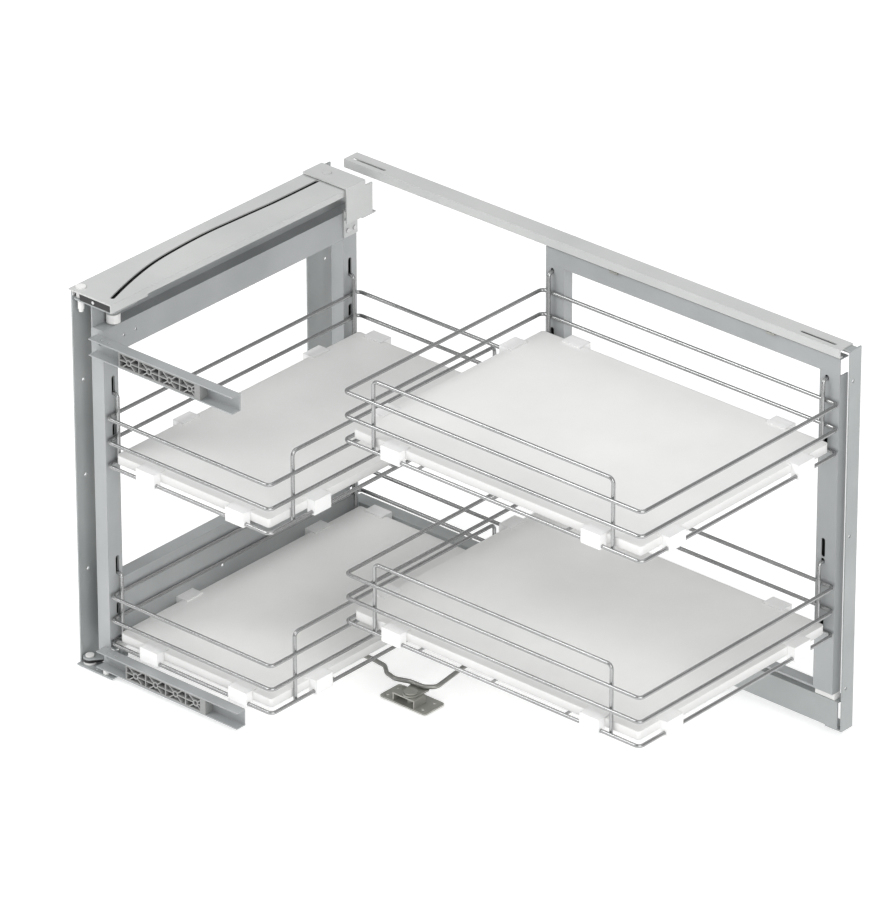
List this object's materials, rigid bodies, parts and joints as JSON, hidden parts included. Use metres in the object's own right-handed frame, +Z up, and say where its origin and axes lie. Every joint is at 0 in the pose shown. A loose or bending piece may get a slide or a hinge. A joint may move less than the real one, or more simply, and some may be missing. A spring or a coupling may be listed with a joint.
{
  "type": "blind corner pull out",
  "caption": "Corner cabinet mechanism: slotted post frame with wire baskets that pulls out and swings, coupled to a sliding rear frame with wire baskets.",
  "frame": {"origin": "the point of the swing axis on the floor, on the underside of the side bracket's foot", "axes": "+X along the cabinet's width to the rear baskets, +Y to the back of the cabinet, +Z up"},
  "size_m": [0.835, 0.503, 0.5367],
  "materials": {
    "galvanised_sheet": "satin grey coated steel",
    "channel_coat": "satin light grey coated steel",
    "frame_coat": "satin silver grey coated steel",
    "pivot_steel": "dull zinc plated steel",
    "rod_steel": "dull zinc plated rod",
    "screw_steel": "plated screw heads",
    "wire_chrome": "polished chrome plated wire",
    "tray_white": "white laminate with a soft sheen",
    "clip_white": "translucent white nylon",
    "nylon_white": "white nylon",
    "block_grey": "grey moulded plastic",
    "block_black": "black moulded plastic"
  },
  "bodies": {
    "cabinet_side": {"side_upright_front": "galvanised_sheet", "side_upright_rear": "galvanised_sheet", "side_base_rail": "galvanised_sheet", "top_guide_channel": "channel_coat", "guide_end_block": "block_black", "end_block_screw": "screw_steel", "swivel_pin_top": "nylon_white", "swivel_pin_bottom": "nylon_white", "support_peg": "nylon_white", "rear_top_rail": "channel_coat", "rear_bottom_rail": "galvanised_sheet", "right_side_plate": "galvanised_sheet", "floor_pivot_plate": "pivot_steel", "floor_pivot_bridge": "pivot_steel", "floor_pivot_pin": "pivot_steel"},
    "swivel": {"swivel_arm_top": "galvanised_sheet", "swivel_arm_bottom": "galvanised_sheet", "swivel_block_bottom": "block_black", "guide_rollers": "nylon_white"},
    "front_frame": {"front_post_front": "frame_coat", "front_post_rear": "frame_coat", "front_top_bar": "frame_coat", "front_bottom_bar": "frame_coat", "guide_carriage": "channel_coat", "guide_pin": "pivot_steel", "carriage_screws": "screw_steel", "door_bar_upper": "frame_coat", "door_bar_lower": "frame_coat", "door_block_upper": "block_grey", "door_block_lower": "block_grey", "front_basket_upper": "wire_chrome", "front_basket_lower": "wire_chrome", "front_tray_upper": "tray_white", "front_tray_lower": "tray_white", "front_clips_upper": "clip_white", "front_clips_lower": "clip_white"},
    "rear_frame": {"rear_post_left": "frame_coat", "rear_post_right": "frame_coat", "rear_top_bar": "frame_coat", "rear_bottom_bar": "frame_coat", "rear_glides": "nylon_white", "rear_hangers": "pivot_steel", "hanger_wheels": "nylon_white", "rear_basket_upper": "wire_chrome", "rear_basket_lower": "wire_chrome", "rear_tray_upper": "tray_white", "rear_tray_lower": "tray_white", "rear_clips_upper": "clip_white", "rear_clips_lower": "clip_white"},
    "lever": {"lever_hub": "pivot_steel", "lever_rod": "rod_steel"}
  },
  "joints": [
    {"name": "front_swing", "type": "hinge", "parent": "cabinet_side", "child": "swivel", "pos_m": [0, 0, 0], "axis": [0, 0, -1], "range_deg": [0, 75]},
    {"name": "front_slide", "type": "slide", "parent": "swivel", "child": "front_frame", "axis": [0, -1, 0], "range_m": [0, 0.4001]},
    {"name": "rear_slide", "type": "slide", "parent": "cabinet_side", "child": "rear_frame", "axis": [-1, 0, 0], "range_m": [0, 0.2151]},
    {"name": "lever_swing", "type": "hinge", "parent": "cabinet_side", "child": "lever", "pos_m": [0.3666, 0.19, 0.0143], "axis": [0, 0, 1], "range_deg": [0, 45.01]}
  ],
  "couplings": [
    {"joint": "front_slide", "follows": "front_swing", "m_per_rad": 0.30558},
    {"joint": "rear_slide", "follows": "front_swing", "m_per_rad": 0.16425},
    {"joint": "lever_swing", "follows": "front_swing", "ratio": 0.6}
  ]
}
